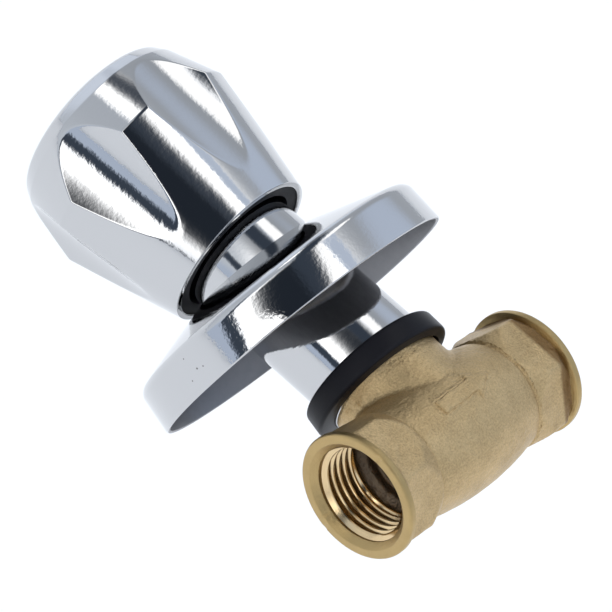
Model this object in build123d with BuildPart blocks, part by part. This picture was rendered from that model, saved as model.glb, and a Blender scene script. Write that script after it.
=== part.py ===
"""Concealed stop valve with a sliding wall flange and a fluted handle.

Millimetres. The origin is on the pipe's centre line where the inlet's thread starts, just
inside its mouth, which faces +X; the outlet faces -X. The spindle's line runs out of the wall
toward -Y, and +Z is up. A height is a distance from the pipe's centre line, measured along
the spindle's line.
"""
from build123d import *
import os
from math import cos, degrees, atan, pi, radians, sin, tan

os.makedirs("parts", exist_ok=True)

# Ports, for pipe ends with a G 1/2 thread
pipe_thread_major = 20.955
pipe_thread_depth = 13.0
mouth_chamfer = 0.76
run_length = 56.1
collar_diameter = 27.54
collar_length = 1.65
neck_diameter = 26.2
neck_length = 0.9
hex_across_flats = 24.2
hex_corner_round = 1.2
hex_cone_start = 7.6
hex_length = 12.1

# Belly and boss of the casting
belly_diameter = 27.6
belly_waist_diameter = 24.1
boss_diameter = 25.6
boss_top = 16.8
boss_foot_round = 1.6
arrow_length = 15.0
arrow_tail_offset = 8.0
arrow_shaft_width = 3.6
arrow_head_width = 6.4
arrow_head_length = 5.2
arrow_relief = 0.45

# Waterway and seat inside the casting
passage_diameter = 17.6
passage_taper = 1.5
chamber_diameter = 18.4
partition = 2.6
seat_web = 3.0
seat_bore = 10.0
seat_lip_width = 1.4
seat_lip_height = 0.8

# Bonnet
bonnet_thread = 20.0
bonnet_bottom = 8.2
bonnet_flange_top = 21.0
bonnet_hex_across = 20.0
bonnet_hex_top = 27.4
bonnet_neck_diameter = 16.4
bonnet_top = 37.0
bonnet_edge = 0.6
seal_section = 1.5

# Plunger, which the spindle's thread lifts off the seat
lift = 4.5
washer_diameter = 14.0
washer_thickness = 3.0
washer_edge_round = 0.4
plunger_disc_diameter = 15.2
plunger_disc_thickness = 2.2
plunger_hex_across = 14.0
plunger_top = 19.0
disc_headroom = 1.0
washer_screw_diameter = 4.0
washer_screw_length = 5.4
washer_screw_head = 7.2
washer_screw_head_height = 1.4
screw_slot_width = 1.0
screw_slot_depth = 0.7

# Spindle
spindle_thread = 10.0
spindle_collar_diameter = 13.8
spindle_collar_height = 2.0
thrust_washer_thickness = 0.8
spindle_stem = 8.9
groove_diameter = 6.8
groove_width = 1.6
groove_heights = {"lower": 30.0, "upper": 33.6}
clip_thickness = 0.8
clip_diameter = 13.4
clip_gap_width = 6.0
spline_teeth = 20
spline_diameter = 8.0
spline_tooth_height = 0.45
spindle_spline_length = 8.0

# Spindle extension
extension_diameter = 12.4
extension_edge = 0.5
extension_shoulder = 66.9
extension_spline_length = 8.6
grub_screw_diameter = 4.0
grub_socket_across = 2.0
grub_socket_depth = 1.2

# Sleeve, and the black ring at its foot
sleeve_diameter = 26.56
sleeve_wall = 1.2
sleeve_end_gap = 2.9
sleeve_edge_round = 0.3
ring_bore = 27.7
ring_diameter_top = 32.2
ring_diameter_bottom = 33.0
ring_height = 5.0
ring_edge_round = 0.8
ring_underside_cone = 0.7
ring_top_height = 21.06
ring_lean_x = -5.0
ring_lean_z = 4.8

# Wall flange, which leans on the sleeve
flange_rim_diameter = 70.2
flange_corner_diameter = 68.9
flange_skirt_height = 9.6
flange_depth = 15.9
flange_hole = 28.4
flange_sheet = 0.9
flange_corner_round = 2.4
flange_hole_gap = 4.24
flange_lean_z = 14.76

# Handle shell. Its rises are measured from its back
handle_back_diameter = 36.2
handle_widest_rise = 27.36
handle_widest_diameter = 49.6
handle_widest_round = 1.2
handle_bevel_rise = 38.76
handle_bevel_diameter = 43.0
handle_front_rise = 43.06
handle_face_diameter = 34.0
handle_crown = 0.6
handle_bulge = 0.75
flute_count = 6
flute_radius = 21.0
flute_start_rise = 7.16
flute_start_depth = 19.7
flute_end_rise = 36.16
flute_end_depth = 21.7
first_flute_angle = 31.87
cavity_spread = 5.0
cavity_depth = 37.56

# Handle insert, its screw and the cap over the screw
insert_recess = 0.5
insert_skirt = 2.0
insert_rim_width = 2.6
insert_web = 2.0
insert_hub_diameter = 13.6
insert_pocket_depth = 9.56
insert_well_depth = 5.45
insert_front_gap = 2.4
insert_rib_count = 6
insert_rib_width = 1.6
handle_screw_diameter = 4.0
handle_screw_length = 14.0
handle_screw_head = 7.4
handle_screw_head_height = 2.6
screw_seat = 3.0
cross_slot_depth = 1.4
cap_diameter = 17.0
cap_thickness = 1.6
cap_skirt = 3.4
cap_wall = 1.4
cap_stand = 0.5
cap_edge = 0.3

# Clearances
thread_clearance = 0.06
slide_clearance = 0.08
face_clearance = 0.05
press_clearance = 0.02
spline_clearance = 0.05
screw_clearance = 0.2
head_clearance = 0.6
travel_margin = 0.4
sleeve_clearance = 0.92

# Places that follow from the sizes above
mouth_x = mouth_chamfer
stem_x = mouth_x - run_length / 2
spindle_line = Axis((stem_x, 0, 0), (0, -1, 0))
half_section = Plane(origin=(stem_x, 0, 0), x_dir=(1, 0, 0), z_dir=(0, 0, -1))
mouth = Plane.YZ.offset(mouth_x)
port_section = Plane(origin=(mouth_x, 0, 0), x_dir=(-1, 0, 0), z_dir=(0, 1, 0))
middle = Plane.YZ.offset(stem_x)
seat_top = seat_web / 2 + seat_lip_height
washer_top = seat_top + washer_thickness
disc_top = washer_top + plunger_disc_thickness
disc_chamber_top = disc_top + lift + disc_headroom
collar_bottom = plunger_top + lift + travel_margin
collar_top = collar_bottom + spindle_collar_height
thrust_seat = collar_top + 2 * face_clearance + thrust_washer_thickness
clip_bottom = bonnet_top + face_clearance
clip_top = clip_bottom + clip_thickness
spindle_top = clip_top + spindle_spline_length
extension_bottom = clip_top + travel_margin
extension_top = extension_shoulder + extension_spline_length
sleeve_bore = sleeve_diameter - 2 * sleeve_wall
pocket_top = extension_shoulder
sleeve_top = pocket_top - sleeve_end_gap
insert_back = pocket_top - insert_pocket_depth
handle_back = insert_back - insert_recess
handle_widest_height = handle_back + handle_widest_rise
handle_bevel_top = handle_back + handle_bevel_rise
handle_front = handle_back + handle_front_rise
flute_start_height = handle_back + flute_start_rise
flute_end_height = handle_back + flute_end_rise
cavity_front = handle_back + cavity_depth
insert_top = cavity_front - insert_front_gap
screw_face = extension_top + face_clearance + screw_seat
insert_hub_top = screw_face + insert_well_depth
insert_pocket_diameter = sleeve_diameter + 2 * sleeve_clearance
cavity_back_diameter = insert_pocket_diameter + 2 * insert_rim_width
cavity_front_diameter = cavity_back_diameter + cavity_spread
flange_hole_height = handle_back - flange_hole_gap


def level(height):
    """Plane across the spindle's line at a height, with local x along +X and local y up."""
    return Plane(origin=(stem_x, -height, 0), x_dir=(1, 0, 0), z_dir=(0, -1, 0))


def leaning_section(height, lean_x, lean_z):
    """Half section and axis of a round piece that leans off the spindle's line."""
    direction = Vector(tan(radians(lean_x)), -1, tan(radians(lean_z))).normalized()
    outward = Vector(0, 0, 1).cross(direction).normalized()
    centre = (stem_x, -height, 0)
    return Plane(origin=centre, x_dir=outward, z_dir=outward.cross(direction)), Axis(centre, direction)


def spline_corners(clearance):
    """Corners of a serrated section, round its whole circumference."""
    tip = spline_diameter / 2 + clearance
    radii = (tip, tip - spline_tooth_height)
    turns = [step * pi / spline_teeth for step in range(2 * spline_teeth)]
    return [(radii[step % 2] * cos(turn), radii[step % 2] * sin(turn)) for step, turn in enumerate(turns)]


def cavity_radius(height):
    """Radius of the handle's hollow at a height."""
    share = (height - handle_back) / (cavity_front - handle_back)
    return (cavity_back_diameter + share * (cavity_front_diameter - cavity_back_diameter)) / 2


# Port: a hexagon turned down to the belly, with a round collar at the mouth
hex_corner_radius = hex_across_flats / 2 / cos(pi / 6)
waist_radius = belly_waist_diameter / 2
with BuildPart() as port:
    with BuildSketch(mouth):
        hexagon = RegularPolygon(hex_corner_radius, 6)
        fillet(hexagon.vertices(), hex_corner_round)
    extrude(amount=-hex_length)
    with BuildSketch(port_section):
        Polygon(
            (0, 0),
            (0, collar_diameter / 2),
            (collar_length, collar_diameter / 2),
            (collar_length, neck_diameter / 2),
            (collar_length + neck_length, hex_corner_radius),
            (hex_cone_start, hex_corner_radius),
            (hex_length, waist_radius),
            (hex_length, 0),
            align=None,
        )
    revolve(axis=Axis.X, mode=Mode.INTERSECT)
    with BuildSketch(mouth):
        Circle(collar_diameter / 2)
    extrude(amount=-collar_length)

# Pipe thread bore of one port, with the chamfer of its mouth
with BuildPart() as port_bore:
    with BuildSketch(port_section):
        Polygon(
            (0, 0),
            (0, pipe_thread_major / 2 + mouth_chamfer),
            (mouth_chamfer, pipe_thread_major / 2),
            (pipe_thread_depth, pipe_thread_major / 2),
            (pipe_thread_depth + passage_taper, passage_diameter / 2),
            (pipe_thread_depth + passage_taper, 0),
            align=None,
        )
    revolve(axis=Axis.X)

# Inlet waterway: a round passage that runs on under the seat web as its lower half
full_round_end = stem_x + chamber_diameter / 2 + partition
with BuildPart() as inlet_waterway:
    with BuildSketch(mouth.offset(-pipe_thread_depth)):
        Circle(passage_diameter / 2)
    extrude(amount=pipe_thread_depth - run_length / 2 - chamber_diameter / 2)
    with BuildSketch(Plane.XY):
        with Locations((full_round_end, seat_web / 2)):
            Rectangle(run_length, run_length, align=(Align.MAX, Align.MAX))
    extrude(amount=passage_diameter, both=True, mode=Mode.SUBTRACT)

# Flow arrow, cast on top of the belly and following its round
belly_arc = (
    (hex_length, waist_radius),
    (run_length / 2, belly_diameter / 2),
    (run_length - hex_length, waist_radius),
)
arrow_tail = stem_x + arrow_tail_offset
arrow_neck = arrow_tail - arrow_length + arrow_head_length
with BuildPart() as flow_arrow:
    with BuildSketch(Plane.XY.offset(waist_radius / 2)):
        Polygon(
            (arrow_tail, arrow_shaft_width / 2),
            (arrow_neck, arrow_shaft_width / 2),
            (arrow_neck, arrow_head_width / 2),
            (arrow_tail - arrow_length, 0),
            (arrow_neck, -arrow_head_width / 2),
            (arrow_neck, -arrow_shaft_width / 2),
            (arrow_tail, -arrow_shaft_width / 2),
            align=None,
        )
    extrude(amount=belly_diameter)
    with BuildSketch(port_section):
        with BuildLine():
            raised = [(along, radius + arrow_relief) for along, radius in belly_arc]
            ThreePointArc(*raised)
            Polyline(raised[2], (raised[2][0], 0), (raised[0][0], 0), raised[0])
        make_face()
    revolve(axis=Axis.X, mode=Mode.INTERSECT)
outlet_waterway = inlet_waterway.part.rotate(Axis((stem_x, 0, 0), (0, 0, 1)), 180)

# Valve body: a sand casting, machined in its ports, its seat and its boss
with BuildPart() as valve_body:
    with BuildSketch(port_section):
        with BuildLine():
            ThreePointArc(*belly_arc)
            Polyline(belly_arc[2], (belly_arc[2][0], 0), (belly_arc[0][0], 0), belly_arc[0])
        make_face()
    revolve(axis=Axis.X)
    with BuildSketch(level(0)):
        Circle(boss_diameter / 2)
    extrude(amount=boss_top)
    boss_foot = valve_body.edges().filter_by(GeomType.BSPLINE)
    fillet(boss_foot, boss_foot_round)
    add(port.part)
    mirror(port.part, about=middle)
    add(flow_arrow.part)
    add(port_bore.part, mode=Mode.SUBTRACT)
    mirror(port_bore.part, about=middle, mode=Mode.SUBTRACT)
    add(inlet_waterway.part, mode=Mode.SUBTRACT)
    add(outlet_waterway, mode=Mode.SUBTRACT)
    with BuildSketch(level(seat_web / 2)):
        Circle(chamber_diameter / 2)
    extrude(amount=bonnet_bottom - seat_web / 2, mode=Mode.SUBTRACT)
    with BuildSketch(level(bonnet_bottom)):
        Circle(bonnet_thread / 2)
    extrude(amount=boss_top - bonnet_bottom, mode=Mode.SUBTRACT)
    with BuildSketch(level(boss_top)):
        Circle(bonnet_thread / 2 + seal_section)
    extrude(amount=-seal_section, mode=Mode.SUBTRACT)
    with BuildSketch(level(seat_web / 2)):
        Circle(seat_bore / 2 + seat_lip_width)
    extrude(amount=seat_lip_height)
    with BuildSketch(level(-seat_web / 2)):
        Circle(seat_bore / 2)
    extrude(amount=seat_web + seat_lip_height, mode=Mode.SUBTRACT)

# Bonnet: screwed into the boss, with a hexagon bore that keeps the plunger from turning
bonnet_thread_radius = bonnet_thread / 2 - thread_clearance
bonnet_flange_radius = sleeve_bore / 2 - thread_clearance
with BuildPart() as bonnet:
    with BuildSketch(half_section):
        Polygon(
            (0, bonnet_bottom),
            (bonnet_thread_radius, bonnet_bottom),
            (bonnet_thread_radius, boss_top),
            (bonnet_flange_radius, boss_top),
            (bonnet_flange_radius, bonnet_flange_top),
            (0, bonnet_flange_top),
            align=None,
        )
    revolve(axis=spindle_line)
    with BuildSketch(level(bonnet_flange_top)):
        RegularPolygon(bonnet_hex_across / 2, 6, major_radius=False)
    extrude(amount=bonnet_hex_top - bonnet_flange_top)
    with BuildSketch(level(bonnet_hex_top)):
        Circle(bonnet_neck_diameter / 2)
    extrude(amount=bonnet_top - bonnet_hex_top)
    chamfer(bonnet.faces().sort_by(Axis.Y)[0].edges(), bonnet_edge)
    with BuildSketch(level(bonnet_bottom)):
        Circle(plunger_hex_across / 2 / cos(pi / 6) + travel_margin)
    extrude(amount=disc_chamber_top - bonnet_bottom, mode=Mode.SUBTRACT)
    with BuildSketch(level(disc_chamber_top)):
        RegularPolygon(plunger_hex_across / 2 + slide_clearance, 6, major_radius=False)
    extrude(amount=collar_bottom - disc_chamber_top, mode=Mode.SUBTRACT)
    with BuildSketch(level(collar_bottom)):
        Circle(spindle_collar_diameter / 2 + slide_clearance)
    extrude(amount=thrust_seat - collar_bottom, mode=Mode.SUBTRACT)
    with BuildSketch(level(thrust_seat)):
        Circle(spindle_stem / 2 + slide_clearance)
    extrude(amount=bonnet_top - thrust_seat, mode=Mode.SUBTRACT)

# Rubber seal under the bonnet's flange
seal_ring_radius = (bonnet_thread + seal_section) / 2
with BuildPart() as bonnet_seal:
    with BuildSketch(half_section):
        with Locations((seal_ring_radius, boss_top - seal_section / 2)):
            Circle(seal_section / 2 - press_clearance)
    revolve(axis=spindle_line)

# Plunger: a disc that carries the washer, and a hexagon tapped for the spindle
thread_floor = disc_top + plunger_disc_thickness
with BuildPart() as plunger:
    with BuildSketch(level(washer_top)):
        Circle(plunger_disc_diameter / 2)
    extrude(amount=plunger_disc_thickness)
    with BuildSketch(level(disc_top)):
        RegularPolygon(plunger_hex_across / 2, 6, major_radius=False)
    extrude(amount=plunger_top - disc_top)
    with BuildSketch(level(thread_floor)):
        Circle(spindle_thread / 2)
    extrude(amount=plunger_top - thread_floor, mode=Mode.SUBTRACT)
    with BuildSketch(level(washer_top)):
        Circle(washer_screw_diameter / 2)
    extrude(amount=thread_floor - washer_top, mode=Mode.SUBTRACT)

# Rubber washer that closes on the seat
with BuildPart() as seat_washer:
    with BuildSketch(level(seat_top)):
        Circle(washer_diameter / 2)
        Circle(washer_screw_diameter / 2, mode=Mode.SUBTRACT)
    extrude(amount=washer_thickness)
    outer_edges = seat_washer.edges().filter_by(GeomType.CIRCLE).group_by(SortBy.RADIUS)[-1]
    fillet(outer_edges, washer_edge_round)

# Slotted screw that holds the washer
with BuildPart() as washer_screw:
    with BuildSketch(level(seat_top - washer_screw_head_height)):
        Circle(washer_screw_head / 2)
    extrude(amount=washer_screw_head_height)
    with BuildSketch(level(seat_top)):
        Circle(washer_screw_diameter / 2 - press_clearance)
    extrude(amount=washer_screw_length)
    with BuildSketch(level(seat_top - washer_screw_head_height)):
        Rectangle(2 * washer_screw_head, screw_slot_width)
    extrude(amount=screw_slot_depth, mode=Mode.SUBTRACT)

# Spindle: lifting thread, thrust collar, sealed stem and serrated end
spindle_bottom = thread_floor + lift + travel_margin
spindle_thread_radius = spindle_thread / 2 - thread_clearance
with BuildPart() as spindle:
    with BuildSketch(half_section):
        Polygon(
            (0, spindle_bottom),
            (spindle_thread_radius, spindle_bottom),
            (spindle_thread_radius, collar_bottom),
            (spindle_collar_diameter / 2, collar_bottom),
            (spindle_collar_diameter / 2, collar_top),
            (spindle_stem / 2, collar_top),
            (spindle_stem / 2, clip_top),
            (0, clip_top),
            align=None,
        )
    revolve(axis=spindle_line)
    with BuildSketch(level(clip_top)):
        Polygon(*spline_corners(0), align=None)
    extrude(amount=spindle_spline_length)
    grooves = [(height - groove_width / 2, groove_width) for height in groove_heights.values()]
    grooves.append((clip_bottom, clip_thickness))
    for bottom, width in grooves:
        with BuildSketch(level(bottom)):
            Circle(spindle_stem)
            Circle(groove_diameter / 2, mode=Mode.SUBTRACT)
        extrude(amount=width, mode=Mode.SUBTRACT)

# Two rubber rings that seal the spindle in the bonnet
groove_depth = (spindle_stem - groove_diameter) / 2
spindle_seals = {}
for place, height in groove_heights.items():
    with BuildPart() as spindle_seal:
        with BuildSketch(half_section):
            with Locations(((groove_diameter + groove_depth) / 2, height)):
                Circle(groove_depth / 2)
        revolve(axis=spindle_line)
    spindle_seals[f"spindle_seal_{place}"] = spindle_seal

# Open spring clip that keeps the spindle in the bonnet
with BuildPart() as spindle_clip:
    with BuildSketch(level(clip_bottom)):
        Circle(clip_diameter / 2)
        Circle(groove_diameter / 2 + press_clearance, mode=Mode.SUBTRACT)
        with Locations((clip_diameter / 2, 0)):
            Rectangle(clip_diameter, clip_gap_width, mode=Mode.SUBTRACT)
    extrude(amount=clip_thickness)

# Washer that takes the thrust of the spindle's collar
with BuildPart() as thrust_washer:
    with BuildSketch(level(collar_top + face_clearance)):
        Circle(spindle_collar_diameter / 2)
        Circle(spindle_stem / 2 + slide_clearance, mode=Mode.SUBTRACT)
    extrude(amount=thrust_washer_thickness)

# Spindle extension: serrated socket below, serrated stub with a tapped hole above
grub_height = (clip_top + spindle_top) / 2
grub_plane = Plane(origin=(stem_x, -grub_height, 0), x_dir=(0, 1, 0), z_dir=(1, 0, 0))
with BuildPart() as spindle_extension:
    with BuildSketch(level(extension_bottom)):
        Circle(extension_diameter / 2)
    extrude(amount=extension_shoulder - extension_bottom)
    chamfer(spindle_extension.edges().filter_by(GeomType.CIRCLE), extension_edge)
    with BuildSketch(level(extension_shoulder)):
        Polygon(*spline_corners(0), align=None)
    extrude(amount=extension_spline_length)
    with BuildSketch(level(extension_bottom)):
        Polygon(*spline_corners(spline_clearance), align=None)
    extrude(amount=spindle_top + travel_margin - extension_bottom, mode=Mode.SUBTRACT)
    with BuildSketch(level(extension_top)):
        Circle(handle_screw_diameter / 2)
    extrude(amount=-handle_screw_length, mode=Mode.SUBTRACT)
    with BuildSketch(grub_plane):
        Circle(grub_screw_diameter / 2)
    extrude(amount=extension_diameter, mode=Mode.SUBTRACT)

# Grub screw that clamps the extension on the spindle
grub_inner = spline_diameter / 2 + spline_clearance
with BuildPart() as extension_screw:
    with BuildSketch(grub_plane.offset(grub_inner)):
        Circle(grub_screw_diameter / 2 - press_clearance)
    extrude(amount=extension_diameter / 2 - grub_inner)
    with BuildSketch(grub_plane.offset(extension_diameter / 2)):
        RegularPolygon(grub_socket_across / 2, 6, major_radius=False)
    extrude(amount=-grub_socket_depth, mode=Mode.SUBTRACT)

# Sleeve: a drawn tube that screws on the bonnet's flange
with BuildPart() as sleeve:
    with BuildSketch(level(boss_top)):
        Circle(sleeve_diameter / 2)
        Circle(sleeve_bore / 2, mode=Mode.SUBTRACT)
    extrude(amount=sleeve_top - boss_top)
    fillet(sleeve.faces().sort_by(Axis.Y)[0].edges(), sleeve_edge_round)

# Black ring that sits loosely, and a little crooked, round the foot of the sleeve
ring_section, ring_line = leaning_section(ring_top_height, ring_lean_x, ring_lean_z)
with BuildPart() as body_ring:
    with BuildSketch(ring_section):
        Polygon(
            (ring_bore / 2, 0),
            (ring_diameter_top / 2, 0),
            (ring_diameter_bottom / 2, -ring_height),
            (ring_bore / 2, -ring_height + ring_underside_cone),
            align=None,
        )
    revolve(axis=ring_line)
    outer_rims = body_ring.edges().filter_by(GeomType.CIRCLE).sort_by(SortBy.RADIUS)[-2:]
    fillet(outer_rims, ring_edge_round)

# Wall flange: one pressed sheet, a shallow cone with a turned-down skirt
flange_section, flange_line = leaning_section(flange_hole_height, 0, flange_lean_z)
with BuildPart() as wall_flange:
    with BuildSketch(flange_section):
        with BuildLine():
            FilletPolyline(
                (flange_hole / 2, 0),
                (flange_corner_diameter / 2, flange_skirt_height - flange_depth),
                (flange_rim_diameter / 2, -flange_depth),
                radius=flange_corner_round,
            )
            offset(amount=flange_sheet, side=Side.RIGHT)
        make_face()
    revolve(axis=flange_line)

# Handle shell: a hollow cone with six flutes, which narrow to a point toward the wall
flute_rise = flute_end_height - flute_start_height
flute_lean = degrees(atan((flute_end_depth - flute_start_depth) / flute_rise))
flute_middle_height = (flute_start_height + flute_end_height) / 2
flute_middle_radius = (flute_start_depth + flute_end_depth) / 2 + flute_radius
flute_place = Location((flute_middle_radius, 0, flute_middle_height), (0, flute_lean, 0))
bevel_corner = (handle_bevel_diameter / 2, handle_bevel_top)
face_corner = (handle_face_diameter / 2, handle_front)
shoulder_middle = (
    (bevel_corner[0] + face_corner[0]) / 2 + handle_bulge,
    (bevel_corner[1] + face_corner[1]) / 2 + handle_bulge,
)
with BuildPart(level(0)) as handle_shell:
    with BuildSketch(half_section):
        with BuildLine():
            FilletPolyline(
                (0, handle_back),
                (handle_back_diameter / 2, handle_back),
                (handle_widest_diameter / 2, handle_widest_height),
                bevel_corner,
                radius=handle_widest_round,
            )
            ThreePointArc(bevel_corner, shoulder_middle, face_corner)
            Polyline(face_corner, (0, handle_front + handle_crown), (0, handle_back))
        make_face()
    revolve(axis=spindle_line)
    with PolarLocations(0, flute_count, start_angle=first_flute_angle):
        with Locations(flute_place):
            Cylinder(flute_radius, 2 * handle_front, mode=Mode.SUBTRACT)
    with BuildSketch(half_section):
        Polygon(
            (0, handle_back),
            (cavity_back_diameter / 2, handle_back),
            (cavity_front_diameter / 2, cavity_front),
            (0, cavity_front),
            align=None,
        )
    revolve(axis=spindle_line, mode=Mode.SUBTRACT)
    with BuildSketch(level(cavity_front)):
        Circle(cap_diameter / 2)
    extrude(amount=handle_front, mode=Mode.SUBTRACT)

# Room between the ribs that join the insert's hub to its skirt
rib_floor = pocket_top + insert_web
with BuildPart() as insert_relief:
    with BuildSketch(half_section):
        Polygon(
            (insert_hub_diameter / 2, rib_floor),
            (cavity_radius(rib_floor) - insert_skirt, rib_floor),
            (cavity_radius(insert_top) - insert_skirt, insert_top),
            (0, insert_top),
            (0, insert_hub_top),
            (insert_hub_diameter / 2, insert_hub_top),
            align=None,
        )
    revolve(axis=spindle_line)
    with BuildSketch(level(rib_floor)):
        with PolarLocations(0, insert_rib_count, start_angle=first_flute_angle):
            Rectangle(cavity_front_diameter, insert_rib_width, align=(Align.MIN, Align.CENTER))
    extrude(amount=insert_hub_top - rib_floor, mode=Mode.SUBTRACT)

# Handle insert: a moulded cup whose hub takes the serrated stub
with BuildPart() as handle_insert:
    with BuildSketch(half_section):
        Polygon(
            (0, insert_back),
            (cavity_radius(insert_back) - press_clearance, insert_back),
            (cavity_radius(insert_top) - press_clearance, insert_top),
            (0, insert_top),
            align=None,
        )
    revolve(axis=spindle_line)
    add(insert_relief.part, mode=Mode.SUBTRACT)
    with BuildSketch(level(insert_back)):
        Circle(insert_pocket_diameter / 2)
    extrude(amount=pocket_top - insert_back, mode=Mode.SUBTRACT)
    with BuildSketch(level(pocket_top)):
        Polygon(*spline_corners(spline_clearance), align=None)
    extrude(amount=extension_top + face_clearance - pocket_top, mode=Mode.SUBTRACT)
    with BuildSketch(level(pocket_top)):
        Circle(handle_screw_diameter / 2 + screw_clearance)
    extrude(amount=insert_top - pocket_top, mode=Mode.SUBTRACT)
    with BuildSketch(level(screw_face)):
        Circle(handle_screw_head / 2 + head_clearance)
    extrude(amount=insert_top - screw_face, mode=Mode.SUBTRACT)

# Cross-slotted screw that holds the handle on the extension
with BuildPart() as handle_screw:
    with BuildSketch(level(screw_face)):
        Circle(handle_screw_head / 2)
    extrude(amount=handle_screw_head_height)
    with BuildSketch(level(screw_face)):
        Circle(handle_screw_diameter / 2 - press_clearance)
    extrude(amount=-handle_screw_length)
    with BuildSketch(level(screw_face + handle_screw_head_height)):
        Rectangle(handle_screw_head - 2 * screw_slot_width, screw_slot_width)
        Rectangle(screw_slot_width, handle_screw_head - 2 * screw_slot_width)
    extrude(amount=-cross_slot_depth, mode=Mode.SUBTRACT)

# Plain round cap that closes the front of the handle
cap_radius = cap_diameter / 2 - press_clearance
with BuildPart() as handle_cap:
    with BuildSketch(level(handle_front - cap_thickness)):
        Circle(cap_radius)
    extrude(amount=cap_thickness + handle_crown + cap_stand)
    chamfer(handle_cap.faces().sort_by(Axis.Y)[0].edges(), cap_edge)
    with BuildSketch(level(handle_front - cap_thickness)):
        Circle(cap_radius)
        Circle(cap_radius - cap_wall, mode=Mode.SUBTRACT)
    extrude(amount=-cap_skirt)

pieces = {
    "valve_body": valve_body,
    "bonnet": bonnet,
    "bonnet_seal": bonnet_seal,
    "plunger": plunger,
    "seat_washer": seat_washer,
    "washer_screw": washer_screw,
    "spindle": spindle,
    "spindle_clip": spindle_clip,
    "thrust_washer": thrust_washer,
    "spindle_extension": spindle_extension,
    "extension_screw": extension_screw,
    "sleeve": sleeve,
    "body_ring": body_ring,
    "wall_flange": wall_flange,
    "handle_shell": handle_shell,
    "handle_insert": handle_insert,
    "handle_screw": handle_screw,
    "handle_cap": handle_cap,
}
pieces.update(spindle_seals)
for node, builder in pieces.items():
    builder.part.label = node
    export_step(builder.part, f"parts/{node}.step")
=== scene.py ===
"""Concealed stop valve: its looks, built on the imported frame. Outlines are in millimetres."""

import bmesh
import bpy
import numpy as np
from mathutils import Euler, Matrix, Vector, noise


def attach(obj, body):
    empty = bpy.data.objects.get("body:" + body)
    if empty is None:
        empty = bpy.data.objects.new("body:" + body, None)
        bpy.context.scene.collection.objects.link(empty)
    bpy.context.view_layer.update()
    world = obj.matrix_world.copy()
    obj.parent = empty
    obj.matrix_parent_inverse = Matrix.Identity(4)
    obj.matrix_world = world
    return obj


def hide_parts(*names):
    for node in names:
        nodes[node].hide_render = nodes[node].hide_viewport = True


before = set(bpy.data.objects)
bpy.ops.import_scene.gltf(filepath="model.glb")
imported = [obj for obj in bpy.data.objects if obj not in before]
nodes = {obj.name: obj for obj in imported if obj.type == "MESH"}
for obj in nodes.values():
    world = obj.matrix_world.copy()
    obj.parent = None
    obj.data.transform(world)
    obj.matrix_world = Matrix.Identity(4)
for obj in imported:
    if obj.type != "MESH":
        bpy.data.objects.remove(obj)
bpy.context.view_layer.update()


# Valve body: one sand casting in brass, its skin left as it came out of the sand. The hexagons,
# the belly and the boss run into each other in soft cast fillets, and the skin has a grain of
# about half a millimetre. The casting's surface is taken from the solid and eased all over.
class Reading:
    """A value on its way through a finish's nodes. Arithmetic on it adds Math nodes."""

    def __init__(self, finish, socket):
        self.finish = finish
        self.socket = socket

    def math(self, operation, *others):
        return self.finish.node("ShaderNodeMath", {"operation": operation}, [self, *others])

    def after(self, operation, other):
        return self.finish.node("ShaderNodeMath", {"operation": operation}, [other, self])

    def __add__(self, other):
        return self.math("ADD", other)

    def __radd__(self, other):
        return self.after("ADD", other)

    def __sub__(self, other):
        return self.math("SUBTRACT", other)

    def __rsub__(self, other):
        return self.after("SUBTRACT", other)

    def __mul__(self, other):
        return self.math("MULTIPLY", other)

    def __rmul__(self, other):
        return self.after("MULTIPLY", other)

    def __truediv__(self, other):
        return self.math("DIVIDE", other)

    def __rtruediv__(self, other):
        return self.after("DIVIDE", other)

    def __pow__(self, other):
        return self.math("POWER", other)

    def __rpow__(self, other):
        return self.after("POWER", other)

    def clamped(self):
        return self.finish.node("ShaderNodeClamp", None, [self])

    def part(self, name):
        return Reading(self.finish, self.socket.node.outputs[name])


class Finish:
    """A procedural material, with one way to add any node to it."""

    def __init__(self, name, sockets):
        self.material = bpy.data.materials.new(name)
        self.material.use_nodes = True
        self.tree = self.material.node_tree
        self.surface = self.tree.nodes["Principled BSDF"]
        self.feed(self.surface, sockets)

    def feed(self, node, sockets):
        pairs = sockets.items() if isinstance(sockets, dict) else enumerate(sockets)
        for key, value in pairs:
            if isinstance(value, Reading):
                self.tree.links.new(value.socket, node.inputs[key])
            else:
                node.inputs[key].default_value = value

    def node(self, kind, settings=None, sockets=(), output=0):
        node = self.tree.nodes.new(kind)
        for name, value in (settings or {}).items():
            setattr(node, name, value)
        self.feed(node, sockets)
        return Reading(self, node.outputs[output])

    def place(self):
        """Where a point of the piece lies, in metres."""
        return self.node("ShaderNodeTexCoord", output="Object")

    def cloud(self, place, scale, detail, roughness=0.5):
        """Soft noise, from nought to one."""
        sockets = {"Vector": place, "Scale": scale, "Detail": detail, "Roughness": roughness}
        return self.node("ShaderNodeTexNoise", None, sockets)

    def blend(self, share, first, second):
        """Two colours mixed by a share of the second. A plain colour is given as three numbers."""
        ends = [end if isinstance(end, Reading) else (*end, 1.0) for end in (first, second)]
        sockets = {0: share, 6: ends[0], 7: ends[1]}
        return self.node("ShaderNodeMix", {"data_type": "RGBA"}, sockets, output=2)

    def bumped(self, height, distance, strength=1.0, **under):
        """Small unevenness on the surface, laid over the one under it if that is given."""
        sockets = {"Strength": strength, "Distance": distance, "Height": height, **under}
        return self.node("ShaderNodeBump", None, sockets)


mm = 0.001
run_length = 56.1
mouth_x = 0.76
stem_x = mouth_x - run_length / 2
collar_length = 1.65
bore_reach = 11.6


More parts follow.
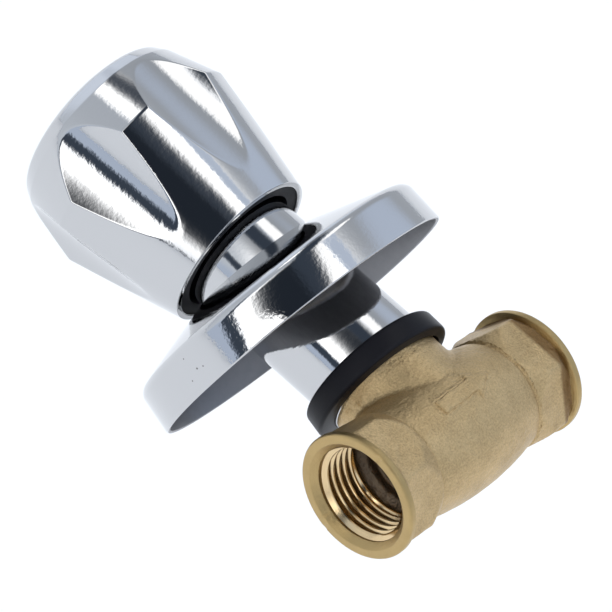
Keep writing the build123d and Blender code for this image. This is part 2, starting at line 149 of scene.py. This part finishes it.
def cast_brass():
    """Dull yellow sand-cast skin, with painted shade darkening the bores and a brown band behind the far
    collar, partly its own tone and partly painted shade.
    """
    finish = Finish("cast_brass", {"Metallic": 0.84})
    place = finish.place()
    patches = finish.cloud(place, 160.0, 3.0)
    grain = finish.cloud(place, 2600.0, 4.0, 0.55)
    wrinkles = finish.cloud(place, 650.0, 2.0)
    sand = finish.node("ShaderNodeTexVoronoi", None, {"Vector": place, "Scale": 1500.0})
    shade = ((patches * 0.35 + grain * 0.65 - 0.5) * 1.5 + 0.55).clamped()
    colour = finish.blend(shade, (0.25, 0.165, 0.068), (0.76, 0.565, 0.305))
    parts = finish.node("ShaderNodeSeparateXYZ", None, [place])
    across = parts.part("Y") / mm
    upward = parts.part("Z") / mm
    # Painted shade: the skin darkens toward the bores, standing in for the shade inside the casting.
    inside = (bore_reach - (across * across + upward * upward).math("SQRT")).clamped()
    colour = finish.blend(inside * 0.92, colour, (0.13, 0.097, 0.07))
    # Brown behind the far collar: partly the turned neck's own darker tone, partly painted shade in its
    # concave neck.
    brown_and_shade_from = -50.5
    behind = ((brown_and_shade_from - parts.part("X") / mm) * 1.2).clamped()
    colour = finish.blend(behind * 0.85, colour, (0.20, 0.115, 0.045))
    bump = finish.bumped(patches * 0.8 + wrinkles * 0.9 + grain * 0.45 + sand * 0.3, 0.20 * mm)
    sockets = {"Base Color": colour, "Roughness": grain * 0.25 + 0.30, "Normal": bump}
    finish.feed(finish.surface, sockets)
    return finish.material


def settle(name, mesh, finishes, body, replaced=(), crease=32.0):
    """Finishes a piece's mesh, sharpens its real corners and hangs it on its body."""
    form = bmesh.new()
    form.from_mesh(mesh)
    bmesh.ops.recalc_face_normals(form, faces=form.faces)
    limit = float(np.radians(crease))
    for edge in form.edges:
        edge.smooth = len(edge.link_faces) == 2 and edge.calc_face_angle() < limit
    for face in form.faces:
        face.smooth = True
    form.to_mesh(mesh)
    form.free()
    for finish in finishes:
        mesh.materials.append(finish)
    piece = bpy.data.objects.new(name, mesh)
    bpy.context.scene.collection.objects.link(piece)
    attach(piece, body)
    if replaced:
        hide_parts(*replaced)
    return piece


skin_grid = 0.40
hexagon_end = -11.45
ledge_cuts = (-0.45, -0.17, 0.03, 0.11, 0.25)
arrow_tail, arrow_neck, arrow_tip = -19.29, -29.09, -34.29
shaft_half, head_half = 1.8, 3.2
arrow_outline = np.array(
    [
        (arrow_tail, shaft_half),
        (arrow_neck, shaft_half),
        (arrow_neck, head_half),
        (arrow_tip, 0.0),
        (arrow_neck, -head_half),
        (arrow_neck, -shaft_half),
        (arrow_tail, -shaft_half),
    ]
)
arrow_field_start, arrow_field_end = -36.5, -17.5
arrow_field_half = 4.6
arrow_field_floor = 11.5


def seen_from_outlet(along):
    """The same place along the pipe, measured from the other port."""
    return 2 * mouth_x - run_length - along


def parted(form, along, outward=1, clear=False):
    """Cuts a mesh across the pipe, and clears what lies outward of the cut if asked."""
    everything = form.verts[:] + form.edges[:] + form.faces[:]
    spot = (along * mm, 0, 0)
    way = (outward, 0, 0)
    bmesh.ops.bisect_plane(form, geom=everything, plane_co=spot, plane_no=way, clear_outer=clear)


def on_arrow_field(spot):
    """Whether a corner of the mesh lies on or round the flow arrow."""
    along = arrow_field_start * mm < spot.x < arrow_field_end * mm
    return along and abs(spot.y) < arrow_field_half * mm and spot.z > arrow_field_floor * mm


def eased_casting():
    """The casting with its corners eased, cut off behind its two turned collars."""
    form = bmesh.new()
    form.from_mesh(nodes["valve_body"].data)
    bmesh.ops.remove_doubles(form, verts=form.verts, dist=1e-6)
    mesh = bpy.data.meshes.new("casting_form")
    form.to_mesh(mesh)
    rough = bpy.data.objects.new("casting_form", mesh)
    bpy.context.scene.collection.objects.link(rough)
    remesh = rough.modifiers.new("skin", "REMESH")
    remesh.mode = "VOXEL"
    remesh.voxel_size = skin_grid * mm
    easing = rough.modifiers.new("easing", "SMOOTH")
    easing.factor = 0.5
    easing.iterations = 1
    graph = bpy.context.evaluated_depsgraph_get()
    skin = bpy.data.meshes.new_from_object(rough.evaluated_get(graph))
    bpy.data.objects.remove(rough)
    form.clear()
    form.from_mesh(skin)
    parted(form, mouth_x - collar_length, 1, True)
    parted(form, mouth_x - run_length + collar_length, -1, True)
    for offset in ledge_cuts:
        parted(form, hexagon_end + offset)
        parted(form, seen_from_outlet(hexagon_end + offset))
    near_arrow = [edge for edge in form.edges if all(on_arrow_field(end.co) for end in edge.verts)]
    bmesh.ops.subdivide_edges(form, edges=near_arrow, cuts=2, use_grid_fill=True)
    bmesh.ops.triangulate(form, faces=[face for face in form.faces if len(face.verts) > 4])
    form.to_mesh(skin)
    form.free()
    return skin


def ramp(values, start, run):
    """Nought up to start, rising to one over the run after it."""
    return np.clip((values - start) / run, 0, 1)


def within_outline(points, corners):
    """How far each flat point lies inside a closed outline, or outside it when negative."""
    nearest = np.full(len(points), np.inf)
    inside = np.zeros(len(points), bool)
    for start, end in zip(corners, np.roll(corners, -1, axis=0)):
        run = end - start
        share = np.clip((points - start) @ run / (run @ run), 0, 1)
        nearest = np.minimum(nearest, np.linalg.norm(points - start - share[:, None] * run, axis=1))
        crosses = (start[1] > points[:, 1]) != (end[1] > points[:, 1])
        if abs(run[1]) > 0:
            meets = start[0] + (points[:, 1] - start[1]) / run[1] * run[0]
            inside ^= crosses & (points[:, 0] < meets)
    return np.where(inside, nearest, -nearest)


def hexagon_steps(points):
    """A small ledge with a crack beside it, where each port's hexagon ends."""
    ledge_height, crack_depth = 0.30, 0.14
    steps = np.zeros(len(points))
    for along in (points[:, 0], seen_from_outlet(points[:, 0])):
        ledge = ramp(along, hexagon_end, 0.12) * ramp(-along, 5.0, 6.0)
        crack = np.exp(-(((along - hexagon_end + 0.15) / 0.2) ** 2))
        steps += ledge * ledge_height - crack * crack_depth
    return steps


def boss_flare(points):
    """The boss's top, drawn out a little under the black ring."""
    flare_start, flare_run, flare_height = 13.2, 3.2, 0.5
    from_stem = np.hypot(points[:, 0] - stem_x, points[:, 2])
    on_boss = (from_stem > 12.2) * (from_stem < 14.0)
    return ramp(-points[:, 1], flare_start, flare_run) ** 2 * on_boss * flare_height


def arrow_relief(points):
    """The flow arrow's raised face, with a rough crevice along its edge."""
    face_height, crevice_depth = 0.10, 0.24
    on_top = points[:, 2] > arrow_field_floor
    wobble = np.array([noise.noise(Vector(point) * 0.9) for point in points[on_top]])
    depth_inside = within_outline(points[on_top][:, :2], arrow_outline) + wobble * 0.3
    relief = np.zeros(len(points))
    relief[on_top] = ramp(depth_inside, 0.0, 0.3) * face_height
    relief[on_top] -= np.exp(-((depth_inside / 0.2) ** 2)) * crevice_depth
    return relief


pits = (
    (-14.6, -15.2, 1.0, 1.3, 0.45),
    (-14.7, -13.4, 3.2, 0.9, 0.4),
    (-17.8, -14.4, 8.6, 0.6, 0.3),
    (-14.9, -12.6, -1.2, 1.0, 0.35),
)


def pitted(points):
    """How deep the pits go. A pit is a place, its reach and its depth."""
    depths = np.zeros(len(points))
    for x, y, z, reach, depth in pits:
        away = np.linalg.norm(points - (x, y, z), axis=1) / reach
        near = away < 2.0
        rough = np.array([noise.noise(Vector(point) * 1.7) for point in points[near]])
        depths[near] += np.exp(-away[near] ** 2) * depth * (0.5 + rough)
    return depths


def weathered(mesh):
    """Moves the skin for its lumps and marks, and turns the corners off behind the far collar."""
    lump_height, neck_radius, neck_flare, neck_length = 0.06, 12.55, 1.6, 2.2
    points = np.array([vertex.co for vertex in mesh.vertices]) / mm
    normals = np.array([vertex.normal for vertex in mesh.vertices])
    lumps = np.array([noise.fractal(Vector(point) * 0.42, 1.0, 2.0, 4) for point in points])
    outer = np.hypot(points[:, 1], points[:, 2]) > bore_reach
    rise = (lumps * lump_height + hexagon_steps(points)) * outer
    rise += boss_flare(points) + arrow_relief(points) - pitted(points)
    moved = points + normals * rise[:, None]
    behind_collar = ramp(points[:, 0], mouth_x - run_length + collar_length, neck_length)
    from_pipe = np.maximum(np.hypot(moved[:, 1], moved[:, 2]), 1.0)
    turned_off = np.minimum(1.0, (neck_radius + neck_flare * behind_collar**2) / from_pipe)
    moved[:, 1:] *= np.where(behind_collar < 1, turned_off, 1.0)[:, None]
    moved *= mm
    mesh.vertices.foreach_set("co", moved.ravel())
    mesh.update()
    return mesh


casting = settle("casting", weathered(eased_casting()), [cast_brass()], "body", ["valve_body"], 180.0)


# Port ends: each collar and mouth is turned on the lathe after casting, so it is brighter than
# the skin, with fine rings, and its thread is cut to the pipe size. The collar is one with the
# casting; the thread is a single ridge wound through the bore.
def eased(corners, radii, steps=6):
    """A closed outline through corners, each rounded to its radius."""
    points = []
    count = len(corners)
    for index, radius in enumerate(radii):
        before, corner, after = (np.array(corners[(index + shift) % count], float) for shift in (-1, 0, 1))
        if radius <= 0:
            points.append(tuple(corner))
            continue
        back = (before - corner) / np.linalg.norm(before - corner)
        ahead = (after - corner) / np.linalg.norm(after - corner)
        half = np.arccos(np.clip(back @ ahead, -1, 1)) / 2
        reach = radius / np.tan(half)
        centre = corner + (back + ahead) / np.linalg.norm(back + ahead) * radius / np.sin(half)
        start = corner + back * reach - centre
        end = corner + ahead * reach - centre
        turn = np.arctan2(start[0] * end[1] - start[1] * end[0], start @ end)
        for angle in np.linspace(0, turn, steps):
            spin = np.array([[np.cos(angle), -np.sin(angle)], [np.sin(angle), np.cos(angle)]])
            points.append(tuple(centre + spin @ start))
    return points


def placed(origin, axis):
    """A placement whose own z axis runs along axis from origin, in millimetres."""
    ahead = Vector(axis).normalized()
    side = Vector((0, 0, 1)).cross(ahead).normalized()
    turn = Matrix((side, ahead.cross(side), ahead)).transposed().to_4x4()
    return Matrix.Translation(Vector(origin) * mm) @ turn @ Matrix.Scale(mm, 4)


def grid_mesh(name, rows, placement, wears=None):
    """A mesh over a grid of points that closes on itself both ways. Wears is a finish per row."""
    rows = np.asarray(rows, float)
    count, around = rows.shape[:2]
    flat = rows.reshape(-1, 3) @ np.array(placement.to_3x3()).T + np.array(placement.translation)
    row, column = np.meshgrid(np.arange(count), np.arange(around), indexing="ij")
    here = row * around
    beyond = (row + 1) % count * around
    beside = (column + 1) % around
    corners = (here + column, here + beside, beyond + beside, beyond + column)
    faces = np.stack(corners, axis=-1).reshape(-1, 4)
    mesh = bpy.data.meshes.new(name)
    mesh.from_pydata(flat.tolist(), [], faces.tolist())
    if wears is not None:
        mesh.polygons.foreach_set("material_index", np.repeat(wears, around).astype(np.int32))
    return mesh


def turned(name, outline, placement, steps=256, wears=None):
    """A turned piece: a closed outline of radius and height, spun round its axis."""
    turns = np.linspace(0, 2 * np.pi, steps, endpoint=False)
    circle = np.column_stack((np.cos(turns), np.sin(turns)))
    rows = [[(radius * x, radius * y, height) for x, y in circle] for radius, height in outline]
    return grid_mesh(name, rows, placement, wears)


def nick(mesh, marks):
    """Presses small dents into a mouth's face. A mark is a place, its reach and its depth."""
    for x, y, z, reach, depth in marks:
        centre = Vector((x, y, z)) * mm
        for vertex in mesh.vertices:
            away = (vertex.co - centre).length / (reach * mm)
            if away < 2.0:
                vertex.co.x -= depth * mm * float(np.exp(-away * away))


def turned_brass(name, colour, roughness, rings, wear):
    """Brass off the lathe, with its fine rings along the pipe and its scuffs in millimetres."""
    finish = Finish(name, {"Metallic": 1.0})
    place = finish.place()
    tone = finish.cloud(place, 300.0, 3.0)
    parts = finish.node("ShaderNodeSeparateXYZ", None, [place])
    stretched = finish.node("ShaderNodeCombineXYZ", None, [parts * rings, 0.0, 0.0])
    lines = finish.cloud(stretched, 1.0, 2.0)
    scuffs = finish.cloud(place, 1400.0, 4.0, 0.6)
    darker = tuple(channel * 0.72 for channel in colour)
    shade = finish.blend(tone * 0.7 + lines * 0.3, darker, colour)
    bump = finish.bumped(lines * 0.5 + tone * 0.3 + scuffs, wear * mm, 0.6)
    sockets = {"Base Color": shade, "Roughness": lines * 0.16 + roughness, "Normal": bump}
    finish.feed(finish.surface, sockets)
    return finish.material


thread_major = 20.955 / 2
thread_minor = 18.631 / 2
thread_pitch = 1.814
thread_depth = 13.0
mouth_radius = thread_major + 1.3
collar_radius = 27.54 / 2


def thread_ridge(name, placement):
    """The pipe thread's ridge: a rounded tooth wound from the mouth to the thread's end."""
    steps_in_turn, first_turn, run_out = 96, 1.3, 1.9
    steps = int((thread_depth - run_out) / thread_pitch * steps_in_turn)
    crest = thread_minor
    root = thread_major + 0.12
    tooth = [(root, -0.86), (crest + 0.32, -0.30), (crest + 0.09, -0.17), (crest, 0.0)]
    tooth += [(radius, -offset) for radius, offset in tooth[2::-1]]
    points = []
    for step in range(steps + 1):
        angle = step / steps_in_turn * 2 * np.pi
        along = first_turn + step / steps_in_turn * thread_pitch
        grown = min(1.0, step / 24, (steps - step) / 60 + 0.02)
        for radius, offset in tooth:
            reach = max(root - (root - radius) * grown, mouth_radius + 0.06 - along - offset)
            points.append((reach * np.cos(angle), reach * np.sin(angle), along + offset))
    width = len(tooth)
    faces = []
    for step in range(steps):
        for side in range(width):
            here = step * width + side
            beside = step * width + (side + 1) % width
            faces.append((here, beside, beside + width, here + width))
    faces.append(tuple(range(width)))
    faces.append(tuple(steps * width + side for side in reversed(range(width))))
    mesh = bpy.data.meshes.new(name)
    mesh.from_pydata([tuple(placement @ Vector(point)) for point in points], [], faces)
    return mesh


port_brass = turned_brass("turned_port_brass", (0.56, 0.40, 0.18), 0.28, 9000.0, 0.16)
thread_brass = turned_brass("cut_thread_brass", (0.86, 0.64, 0.36), 0.07, 2600.0, 0.02)
collar_outline = eased(
    [
        (thread_major - 0.05, thread_depth),
        (thread_major - 0.05, 1.35),
        (mouth_radius, 0.0),
        (collar_radius, 0.0),
        (collar_radius, collar_length),
        (collar_radius - 0.9, collar_length + 0.25),
        (thread_major + 0.9, collar_length + 0.6),
        (thread_major + 0.6, thread_depth - 0.6),
    ],
    [0.0, 0.3, 0.35, 0.6, 0.3, 0.2, 0.0, 0.0],
)
inlet_nicks = (
    (mouth_x, 0.7, 12.6, 0.55, 1.1),
    (mouth_x, -12.46, 0.11, 0.35, 0.3),
    (mouth_x, -4.59, -10.57, 0.35, 0.35),
    (mouth_x, -3.1, -12.9, 0.4, 0.4),
)
for end, mouth_place, inward in (("inlet", mouth_x, -1), ("outlet", mouth_x - run_length, 1)):
    mouth = placed((mouth_place, 0, 0), (inward, 0, 0))
    collar_mesh = turned(f"{end}_collar", collar_outline, mouth, 512)
    if end == "inlet":
        nick(collar_mesh, inlet_nicks)
    collar = settle(f"{end}_collar", collar_mesh, [port_brass], "body")
    ridge = settle(f"{end}_thread", thread_ridge(f"{end}_thread", mouth), [thread_brass], "body")


# Headwork inside the body and the sleeve: turned brass bonnet, spindle, plunger and extension,
# black rubber seals, a nylon thrust washer and small steel fixings. They keep their solids.
def even_finish(name, colour, roughness, metal=1.0):
    """A plain material with a little unevenness in its tone."""
    finish = Finish(name, {"Metallic": metal})
    tone = finish.cloud(finish.place(), 420.0, 4.0)
    darker = tuple(channel * 0.75 for channel in colour)
    shade = finish.blend(tone, darker, colour)
    bump = finish.bumped(tone, 0.05 * mm, 0.2)
    sockets = {"Base Color": shade, "Roughness": tone * 0.15 + roughness, "Normal": bump}
    finish.feed(finish.surface, sockets)
    return finish.material


def dress(finish, *names):
    """Gives solids that keep their shape a finish."""
    for name in names:
        for slot in nodes[name].material_slots:
            slot.material = finish


headwork_brass = even_finish("headwork_brass", (0.62, 0.48, 0.25), 0.3)
dress(headwork_brass, "bonnet", "spindle", "plunger", "spindle_extension", "washer_screw")
seal_rubber = even_finish("seal_rubber", (0.03, 0.03, 0.032), 0.55, 0.0)
dress(seal_rubber, "bonnet_seal", "seat_washer", "spindle_seal_lower", "spindle_seal_upper")
dress(even_finish("nylon", (0.78, 0.77, 0.72), 0.4, 0.0), "thrust_washer")
plated_steel = even_finish("plated_steel", (0.55, 0.55, 0.57), 0.25)
dress(plated_steel, "spindle_clip", "extension_screw", "handle_screw")


# Sleeve: drawn brass tube, polished and chromed, screwed over the bonnet's flange. It shows long
# straight reflections along its length.
chrome_tone = (0.57, 0.572, 0.576)
dirt_tone = (0.07, 0.06, 0.05)


def polished_chrome(name, ripple, specks=()):
    """Chrome with the polish's faint ripple. A speck of dirt is a place and its radius."""
    finish = Finish(name, {"Metallic": 1.0, "Base Color": (*chrome_tone, 1.0)})
    place = finish.place()
    dirt = 0.0
    for x, y, z, radius in specks:
        spot = (x * mm, y * mm, z * mm)
        away = finish.node("ShaderNodeVectorMath", {"operation": "DISTANCE"}, [place, spot], "Value")
        dirt = dirt + (1.6 - away / (radius * mm)).clamped()
    if specks:
        finish.feed(finish.surface, {"Base Color": finish.blend(dirt, chrome_tone, dirt_tone)})
    wave = finish.cloud(place, 110.0, 2.0)
    peel = finish.cloud(place, 1300.0, 3.0)
    broad = finish.bumped(wave, ripple * 0.12 * mm)
    bump = finish.bumped(peel, ripple * 0.03 * mm, Normal=broad)
    finish.feed(finish.surface, {"Roughness": peel * 0.03 + 0.02, "Normal": bump})
    return finish.material


stem = placed((stem_x, 0, 0), (0, -1, 0))
sleeve_radius = 13.28
sleeve_bore = 12.08
sleeve_foot = 16.8
sleeve_top = 64.0
sleeve_outline = eased(
    [
        (sleeve_bore, sleeve_foot),
        (sleeve_radius, sleeve_foot),
        (sleeve_radius, sleeve_top),
        (sleeve_bore, sleeve_top),
    ],
    [0.1, 0.2, 0.35, 0.2],
)
sleeve_mesh = turned("chrome_sleeve", sleeve_outline, stem)
sleeve = settle("chrome_sleeve", sleeve_mesh, [polished_chrome("sleeve_chrome", 0.25)], "body", ["sleeve"])


# Black ring: moulded plastic, loose on the sleeve's foot, with rounded edges and a faint sheen.
# It sits a little crooked, as it fell, and its bore is close round the sleeve.
def moulded_black(name, tone, roughness):
    """Black plastic with fine specks and broad smears."""
    finish = Finish(name, {"Specular IOR Level": 0.13})
    place = finish.place()
    specks = finish.cloud(place, 2500.0, 3.0)
    smears = finish.cloud(place, 90.0, 4.0)
    lighter = tuple(channel * 1.6 for channel in tone)
    shade = finish.blend(smears * 0.6 + specks * 0.4, tone, lighter)
    bump = finish.bumped(specks, 0.04 * mm, 0.25)
    sockets = {"Base Color": shade, "Roughness": smears * 0.2 + roughness, "Normal": bump}
    finish.feed(finish.surface, sockets)
    return finish.material


ring_bore = 13.85
ring_lip = 14.75
snug_bore = sleeve_radius + 0.14
ring_lean = (np.tan(np.radians(-5.0)), -1.0, np.tan(np.radians(4.8)))
ring_spot = placed((stem_x, -21.06, 0), ring_lean)
ring_outline = eased(
    [(ring_bore, 0.0), (16.1, 0.0), (16.5, -5.0), (ring_bore, -5.45)],
    [0.35, 0.8, 0.8, 0.3],
)
ring_mesh = turned("black_ring", ring_outline, ring_spot)
for vertex in ring_mesh.vertices:
    from_stem = Vector((vertex.co.x - stem_x * mm, vertex.co.z))
    if from_stem.length < ring_lip * mm:
        snug = from_stem * (snug_bore * mm / from_stem.length)
        vertex.co.x = stem_x * mm + snug.x
        vertex.co.z = snug.y
ring_black = moulded_black("ring_black", (0.006, 0.006, 0.008), 0.30)
ring = settle("black_ring", ring_mesh, [ring_black], "body", ["body_ring"])


# Wall flange: pressed from one sheet into a shallow cone with a turned-down skirt, polished and
# chromed outside and left duller inside. It leans on the sleeve, its edges are rounded, and four
# specks of dirt sit on its skirt.
skirt_specks = (
    (7.34, -39.08, 0.87, 0.13),
    (6.78, -39.52, 3.95, 0.17),
    (6.45, -38.7, 5.34, 0.13),
    (6.83, -42.99, 3.39, 0.12),
)
flange_hole = 14.2
flange_steps = 10
flange_lean = (0.0, -1.0, np.tan(np.radians(14.76)))
flange_spot = placed((stem_x, -52.6, 0), flange_lean)
flange_outline = eased(
    [
        (flange_hole, 0.0),
        (34.45, -6.3),
        (35.1, -15.9),
        (34.25, -15.9),
        (33.6, -7.0),
        (flange_hole, -0.95),
    ],
    [0.25, 2.4, 0.3, 0.25, 1.5, 0.25],
    flange_steps,
)
polished_rows = 3 * flange_steps - 2
flange_wears = [0 if index < polished_rows else 1 for index in range(len(flange_outline))]
flange_mesh = turned("chrome_flange", flange_outline, flange_spot, 384, flange_wears)
flange_chrome = polished_chrome("flange_chrome", 0.6, skirt_specks)
flange_inside = even_finish("flange_inside", (0.30, 0.30, 0.31), 0.28)
flange = settle("chrome_flange", flange_mesh, [flange_chrome, flange_inside], "flange", ["wall_flange"])


# Handle shell: die-cast, polished and chromed. A hollow cone widens from its back rim to a crown,
# bevels in and rounds over to the front. Six flutes are cut in it, each an arch at the front that
# narrows to a point toward the wall, and polishing has eased the edges between flute and land.
handle_back = 56.84
handle_front = 99.9
handle_softness = 0.22
flute_radius = 21.0
flute_count = 6
first_flute = np.radians(31.87)
floor_back_height, floor_back_radius = 64.0, 19.7
floor_front_height, floor_front_radius = 93.0, 21.7


def flute_floor(height):
    """How far a flute's floor is from the handle's axis. It leans in toward the wall."""
    share = (height - floor_back_height) / (floor_front_height - floor_back_height)
    return floor_back_radius + share * (floor_front_radius - floor_back_radius)


def flute_half_angle(radius, height):
    """Half the angle that a flute takes from the round body at a height."""
    axis_out = flute_floor(height) + flute_radius
    cosine = (axis_out**2 + radius**2 - flute_radius**2) / (2 * axis_out * radius)
    return np.arccos(min(1.0, cosine)) if radius > flute_floor(height) else 0.0


def handle_row(radius, height, fluted):
    """One ring of points, with its columns drawn to the flutes' edges."""
    edge = flute_half_angle(radius, height) if fluted else 0.0
    kept = max(edge, np.radians(2.5))
    sector = np.pi / flute_count
    easing = np.radians([0.0, 0.12, 0.28, 0.5, 0.85, 1.4])
    in_flute = np.linspace(0, 1, 9)[:-1] * (kept - easing[-1])
    at_edge = np.concatenate([kept - easing[::-1], kept + easing[1:]])
    on_land = kept + easing[-1] + np.linspace(0, 1, 7)[1:] * (sector - kept - easing[-1])
    half = np.concatenate([in_flute, at_edge, on_land])
    columns = np.concatenate([-half[:0:-1], half[:-1]])
    axis_out = flute_floor(height) + flute_radius
    row = []
    for flute in range(flute_count):
        for angle in columns:
            here = radius
            aside = axis_out * np.sin(angle)
            if fluted and abs(aside) < flute_radius:
                bottom = axis_out * np.cos(angle) - np.sqrt(flute_radius**2 - aside**2)
                blend = max(handle_softness - abs(bottom - radius), 0.0) / handle_softness
                here = min(bottom, radius) - blend * blend * handle_softness / 4
            turn = first_flute + flute * 2 * sector + angle
            row.append((here * np.cos(turn), here * np.sin(turn), height))
    return row


def foremost(outline):
    """Which point of an outline lies farthest to the front."""
    return max(range(len(outline)), key=lambda index: outline[index][1])


def finely(outline, up_to, step):
    """An outline with extra points up its outer side, where the flutes need them."""
    points = []
    front = foremost(outline)
    for index, (radius, height) in enumerate(outline):
        points.append((radius, height))
        wider = outline[(index + 1) % len(outline)][0] - radius
        higher = outline[(index + 1) % len(outline)][1] - height
        if index < front and max(height, height + higher) < up_to:
            parts = int(abs(higher) / step)
            for part in range(1, parts):
                points.append((radius + wider * part / parts, height + higher * part / parts))
    return points


handle_outline = eased(
    [
        (18.1, handle_back),
        (24.8, 84.2),
        (21.5, 95.6),
        (19.9, 98.6),
        (17.0, handle_front),
        (8.5, 100.25),
        (8.5, 94.4),
        (19.3, 94.4),
        (16.8, handle_back),
    ],
    [0.25, 1.4, 2.2, 2.6, 3.0, 0.25, 0.0, 0.4, 0.25],
    steps=9,
)
handle_rows = finely(handle_outline, 97.0, 0.2)
front_index = foremost(handle_rows)
shell_rows = []
for index, (radius, height) in enumerate(handle_rows):
    shell_rows.append(handle_row(radius, height, index <= front_index))
handle_chrome = polished_chrome("handle_chrome", 0.45)
shell_mesh = grid_mesh("chrome_handle", shell_rows, stem)
shell = settle("chrome_handle", shell_mesh, [handle_chrome], "handle", ["handle_shell"], 40.0)


# Handle insert and cap: the insert is moulded in black plastic and fills the shell's back round
# the sleeve; the cap is a plain chromed disc pressed into the front over the screw.
dress(moulded_black("insert_black", (0.007, 0.007, 0.009), 0.42), "handle_insert")
cap_radius = 8.48
cap_back = 98.3
cap_outline = eased(
    [(0.001, cap_back), (cap_radius, cap_back), (cap_radius, 100.9), (0.001, 101.0)],
    [0.0, 0.0, 0.45, 0.0],
)
cap_mesh = turned("chrome_cap", cap_outline, stem, 128)
cap = settle("chrome_cap", cap_mesh, [handle_chrome], "handle", ["handle_cap"])


# Floor and studio: a wide pale floor well below the valve, which is held by its inlet. The room
# is one soft pale light all round, a little brighter toward one side, with large soft boxes round
# the camera and over the valve, and the dark of the room between them.
floor_level = -0.30
floor_half = 12.0
floor_mesh = bpy.data.meshes.new("floor")
corners = [(x * floor_half, y * floor_half, floor_level) for x, y in ((-1, -1), (1, -1), (1, 1), (-1, 1))]
floor_mesh.from_pydata(corners, [], [(0, 1, 2, 3)])
floor = bpy.data.objects.new("floor", floor_mesh)
bpy.context.scene.collection.objects.link(floor)
floor_finish = Finish("pale_floor", {"Base Color": (0.95, 0.95, 0.95, 1.0), "Roughness": 0.9})
floor_mesh.materials.append(floor_finish.material)


class Room(Finish):
    """The light all round, built with the same nodes as a finish."""

    def __init__(self, name, ground, slope, tint):
        world = bpy.data.worlds.new(name)
        bpy.context.scene.world = world
        world.use_nodes = True
        self.tree = world.node_tree
        self.surface = self.tree.nodes["Background"]
        self.toward = self.node("ShaderNodeTexCoord", output="Generated")
        level = self.toward_share(slope) + ground
        self.light = self.node("ShaderNodeVectorMath", {"operation": "SCALE"}, {0: tint, "Scale": level})

    def toward_share(self, direction):
        """How far a ray goes along a direction."""
        sockets = [self.toward, tuple(direction)]
        return self.node("ShaderNodeVectorMath", {"operation": "DOT_PRODUCT"}, sockets, "Value")

    def soft_box(self, azimuth, elevation, tilt, reach, width, level):
        """Lays a soft-edged box of light, or of dark, over what is there. Angles are in degrees."""
        turn = Euler([np.radians(angle) for angle in (tilt, -elevation, azimuth)]).to_matrix()
        aim, along, across = turn.transposed()
        length = self.toward_share(along) / float(np.sin(np.radians(reach)))
        breadth = self.toward_share(across) / float(np.sin(np.radians(width)))
        spread = length * length + breadth * breadth
        in_front = self.toward_share(aim).math("GREATER_THAN", 0.0)
        share = (spread**4.0 * -1.0).math("EXPONENT") * in_front
        blueness = max(0.0, 1.0 - level / 1.6)
        tone = (level * (1 - 0.24 * blueness), level, level * (1 + 0.42 * blueness))
        self.light = self.blend(share, self.light, tone)


# Each box has an azimuth, an elevation and a tilt, half a length and half a width, and a level.
room = Room("studio", 0.746, (0.163, 0.06, -0.141), (0.93, 1.0, 1.10))
for box in (
    (-114.6, -8.6, 48.3, 49.5, 26.4, 1.05),
    (-99.5, -17.0, -82.6, 40.2, 26.9, 1.05),
    (10.9, 52.9, 83.2, 49.6, 26.8, 3.0),
    (11.4, 50.9, -70.6, 49.5, 21.3, 0.03),
    (178.3, 78.6, 85.1, 5.3, 20.6, 0.82),
    (-96.6, 40.0, 10.5, 16.4, 5.8, 2.36),
    (-141.8, 63.0, -86.5, 18.0, 7.6, 1.84),
    (40.6, -27.3, 45.0, 20.2, 10.5, 0.78),
    (156.4, 30.0, 14.1, 39.3, 24.7, 0.77),
    (-90.4, 65.3, 60.8, 47.6, 10.6, 0.07),
    (70.8, 59.6, 33.5, 50.5, 13.6, 0.9),
    (-13.2, -1.7, 82.8, 18.3, 14.4, 0.73),
    (-11.5, 13.9, -42.8, 34.6, 4.4, 0.08),
    (0.6, 34.1, 70.3, 11.5, 3.5, 2.21),
):
    room.soft_box(*box)
room.feed(room.surface, {"Color": room.light, "Strength": 1.0})
bpy.context.scene.view_settings.view_transform = "Standard"

# A broad lamp overhead whitens the floor and stays out of the polished reflections.
overhead = bpy.data.lights.new("overhead", "AREA")
overhead.shape = "SQUARE"
overhead.size = 9.0
overhead.energy = 215.0
lamp = bpy.data.objects.new("overhead", overhead)
bpy.context.scene.collection.objects.link(lamp)
lamp.location = (0.0, 0.0, 5.0)
lamp.visible_glossy = False
lamp.visible_camera = False

# Camera: at the photo's viewing angle, a long lens from the wall side above the inlet. It looks
# down across the valve at the open inlet and the back of the handle.
eye = Vector((0.5181, 0.19784, 0.60967))
ahead = Vector((-0.641, -0.2779, -0.7155)).normalized()
up = Vector((-0.4335, -0.6382, 0.6362))
right = ahead.cross(up).normalized()
up = right.cross(ahead)
lens = bpy.data.cameras.new("camera")
lens.lens = 248.37
lens.sensor_width = 36.0
lens.clip_end = 50.0
camera = bpy.data.objects.new("camera", lens)
bpy.context.scene.collection.objects.link(camera)
camera.matrix_world = Matrix.Translation(eye) @ Matrix((right, up, -ahead)).transposed().to_4x4()
bpy.context.scene.camera = camera
